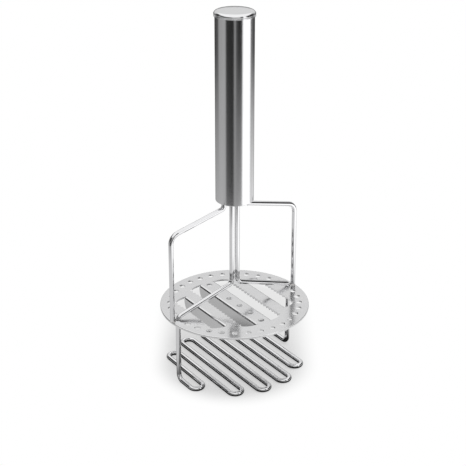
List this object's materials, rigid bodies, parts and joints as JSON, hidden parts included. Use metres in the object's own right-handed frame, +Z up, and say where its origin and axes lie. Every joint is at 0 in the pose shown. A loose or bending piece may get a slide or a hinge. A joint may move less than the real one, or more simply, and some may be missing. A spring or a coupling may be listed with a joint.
{
  "type": "potato masher",
  "caption": "Spring-loaded potato masher: a tubular handle pushes a slotted, serrated disc down the posts of a zigzag wire foot and springs back",
  "frame": {"origin": "on the standing surface, on the handle's axis", "axes": "+Z up the handle, +X along the line through the frame's two posts, +Y along the zigzag's straight runs"},
  "size_m": [0.114, 0.113, 0.2773],
  "materials": {
    "brushed_steel": "brushed",
    "polished_steel": "polished",
    "satin_steel": "satin",
    "nylon": "matte",
    "rubber": "matte"
  },
  "bodies": {
    "masher": {"masher_wire": "polished_steel", "plunger_head": "satin_steel", "head_welds": "satin_steel", "return_spring": "satin_steel"},
    "handle": {"handle_tube": "brushed_steel", "top_cap": "polished_steel", "base_plug": "polished_steel", "stem_bush": "nylon", "bumper_washer": "rubber", "frame_wire_left": "polished_steel", "frame_wire_right": "polished_steel", "mashing_disc": "satin_steel", "disc_welds": "polished_steel", "spring_stop": "nylon", "spacer_sleeve": "satin_steel"}
  },
  "joints": [
    {"name": "push_slide", "type": "slide", "parent": "masher", "child": "handle", "axis": [0, 0, -1], "range_m": [0, 0.034], "stiffness_N_per_m": 720, "springref_m": -0.02, "deforming": ["return_spring"]}
  ]
}
